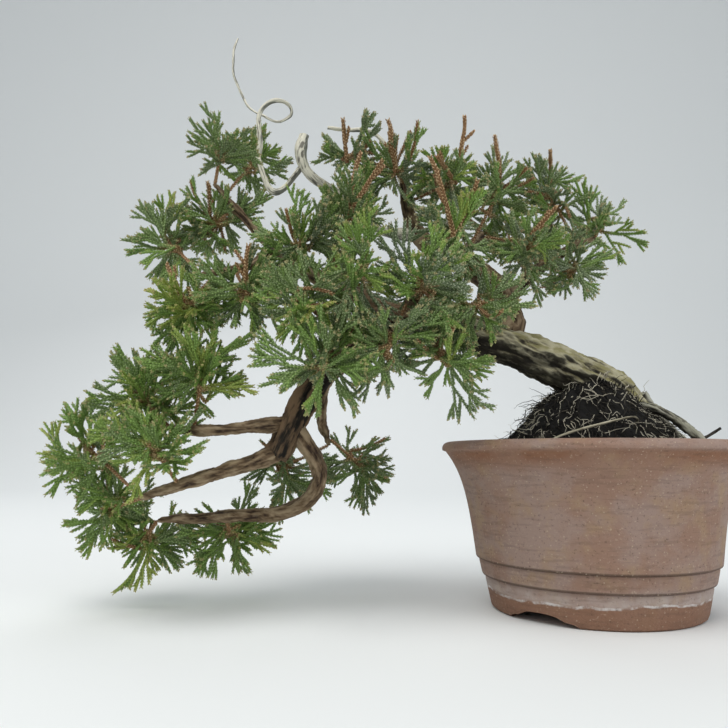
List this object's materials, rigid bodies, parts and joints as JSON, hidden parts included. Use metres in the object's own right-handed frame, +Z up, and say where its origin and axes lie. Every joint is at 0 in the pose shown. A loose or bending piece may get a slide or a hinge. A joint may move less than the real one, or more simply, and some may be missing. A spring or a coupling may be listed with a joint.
{
  "type": "bonsai tree in a pot",
  "caption": "Small semi-cascade juniper bonsai with a leaning trunk, exposed roots, curled bleached deadwood and scale foliage, in a round flared unglazed stoneware pot.",
  "frame": {"origin": "centre of the whole object's bounding box in plan, on the plane that the pot's foot stands on; the pot's own axis is 63 mm to the right of it", "axes": "+Z up; +X to the right as the tree is shown, from the trailing lower branches on the left to the pot on the right; +Y to the back"},
  "size_m": [0.2196, 0.1044, 0.1936],
  "materials": {
    "stoneware": "matte",
    "soil": "matte",
    "screen": "matte",
    "wire": "satin",
    "root_mat": "matte",
    "roots": "matte",
    "bark": "matte",
    "deadwood": "matte",
    "foliage": "satin"
  },
  "bodies": {
    "root": {"apex_stem": "bark", "back_branch": "bark", "centre_front_branch": "bark", "crown_back_branch": "bark", "crown_front_branch": "bark", "crown_right_branch": "bark", "deadwood_curl": "deadwood", "deadwood_stem": "deadwood", "deadwood_stub": "deadwood", "deadwood_twig": "deadwood", "drain_screen": "screen", "forked_branch": "bark", "hooked_branch": "bark", "left_middle_branch": "bark", "lower_left_branch": "bark", "pot": "stoneware", "root_back": "roots", "root_front_right": "roots", "root_mat": "root_mat", "root_right": "roots", "screen_clip": "wire", "soil": "soil", "spray_back_left": "foliage", "spray_back_low_left": "foliage", "spray_back_low_right": "foliage", "spray_back_right": "foliage", "spray_back_top": "foliage", "spray_centre": "foliage", "spray_centre_crown": "foliage", "spray_centre_left": "foliage", "spray_centre_low": "foliage", "spray_centre_low_right": "foliage", "spray_centre_right": "foliage", "spray_centre_top": "foliage", "spray_crown_front": "foliage", "spray_crown_left": "foliage", "spray_crown_middle": "foliage", "spray_crown_right_end": "foliage", "spray_crown_right_front": "foliage", "spray_crown_right_low": "foliage", "spray_crown_right_top": "foliage", "spray_crown_rise": "foliage", "spray_crown_top": "foliage", "spray_left_bright": "foliage", "spray_left_front": "foliage", "spray_left_inner": "foliage", "spray_left_outer": "foliage", "spray_low_bottom": "foliage", "spray_low_bottom_left": "foliage", "spray_low_far_left": "foliage", "spray_low_front": "foliage", "spray_low_left": "foliage", "spray_low_left_top": "foliage", "spray_low_middle_top": "foliage", "spray_right_front": "foliage", "spray_rim": "foliage", "spray_top_left": "foliage", "spray_top_left_back": "foliage", "trunk": "bark", "upper_left_branch": "bark"}
  },
  "joints": []
}
